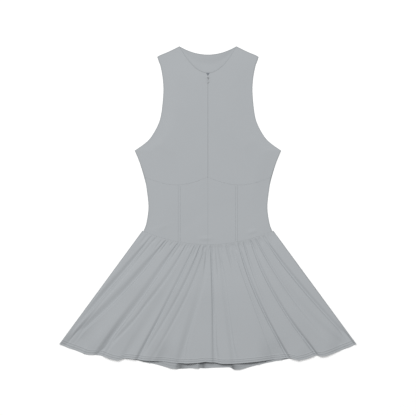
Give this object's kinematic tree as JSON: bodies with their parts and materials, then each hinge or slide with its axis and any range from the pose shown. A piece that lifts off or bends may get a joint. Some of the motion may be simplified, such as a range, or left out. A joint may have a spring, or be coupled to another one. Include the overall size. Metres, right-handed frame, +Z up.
{
  "type": "sleeveless zip dress",
  "caption": "Sleeveless knit mini dress laid flat: concealed front zip, cup seams, panelled midriff and a gathered flared skirt.",
  "frame": {"origin": "on the surface it lies on, under the middle of the laid-out dress", "axes": "+Z up out of the cloth, +Y towards the neck, +X towards the wearer's left, which is the picture's right"},
  "size_m": [0.7416, 0.807, 0.0159],
  "materials": {
    "knit_cloth": "matte smooth double knit",
    "zip_tape": "matte woven tape",
    "zip_coil": "nylon coil",
    "zip_metal": "lacquered to match the cloth"
  },
  "bodies": {
    "dress": {"back": "knit_cloth", "front_right": "knit_cloth", "front_left": "knit_cloth", "midriff_centre_right": "knit_cloth", "midriff_centre_left": "knit_cloth", "midriff_side_right": "knit_cloth", "midriff_side_left": "knit_cloth", "skirt_back": "knit_cloth", "skirt_front": "knit_cloth", "zip_tape_left": "zip_tape", "zip_tape_right": "zip_tape", "zip_coil": "zip_coil", "zip_stop": "zip_metal", "zip_slider": "zip_metal"},
    "pull": {"zip_pull": "zip_metal"}
  },
  "joints": [
    {"name": "pull_flip", "type": "hinge", "parent": "dress", "child": "pull", "pos_m": [0, 0.32501, 0.00805], "axis": [-1, 0, 0], "range_deg": [0, 165]}
  ]
}
